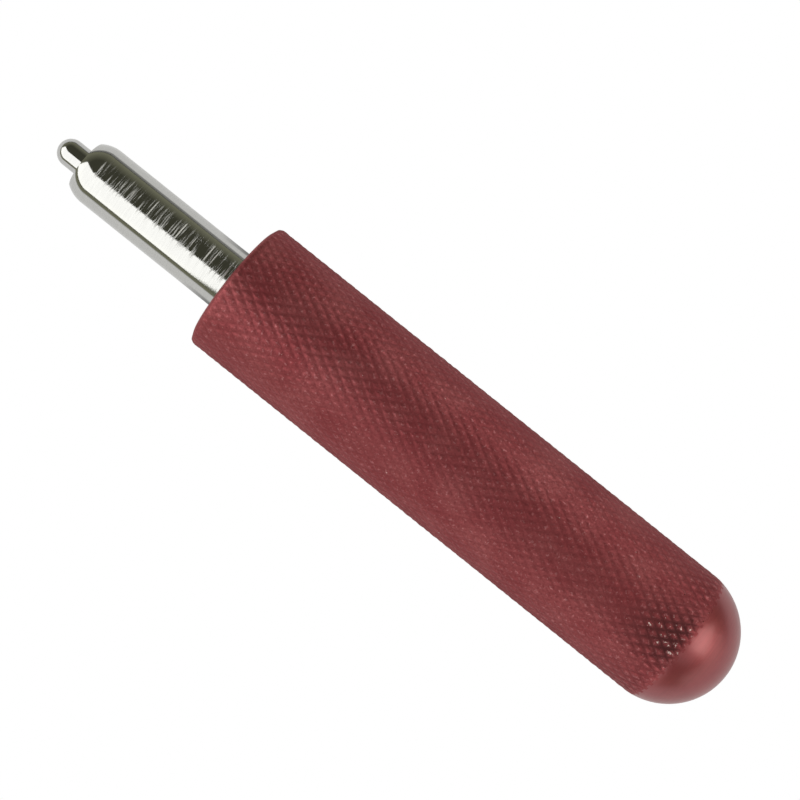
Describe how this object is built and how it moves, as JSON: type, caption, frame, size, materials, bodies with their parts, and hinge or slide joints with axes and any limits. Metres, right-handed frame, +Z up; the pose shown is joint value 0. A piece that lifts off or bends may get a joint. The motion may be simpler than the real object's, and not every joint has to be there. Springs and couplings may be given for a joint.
{
  "type": "hand punch",
  "caption": "Rigid leatherworking hand punch: knurled round handle with a domed palm end, a plain steel shank, and a rounded pilot pin on the shank's nose.",
  "frame": {"origin": "under the middle of the tool, on the surface that it lies on", "axes": "+X runs along the tool from the pilot pin to the handle's dome, +Z is up, and the tool's own axis is 10 mm above the surface"},
  "size_m": [0.1172, 0.02, 0.02],
  "materials": {
    "handle_anodised": "dull red anodising over a fine diamond knurl, satin and smooth on the dome",
    "shank_steel": "bright turned and polished, with faint lines round it",
    "pin_steel": "polished"
  },
  "bodies": {
    "root": {"handle": "handle_anodised", "shank": "shank_steel", "pilot_pin": "pin_steel"}
  },
  "joints": []
}
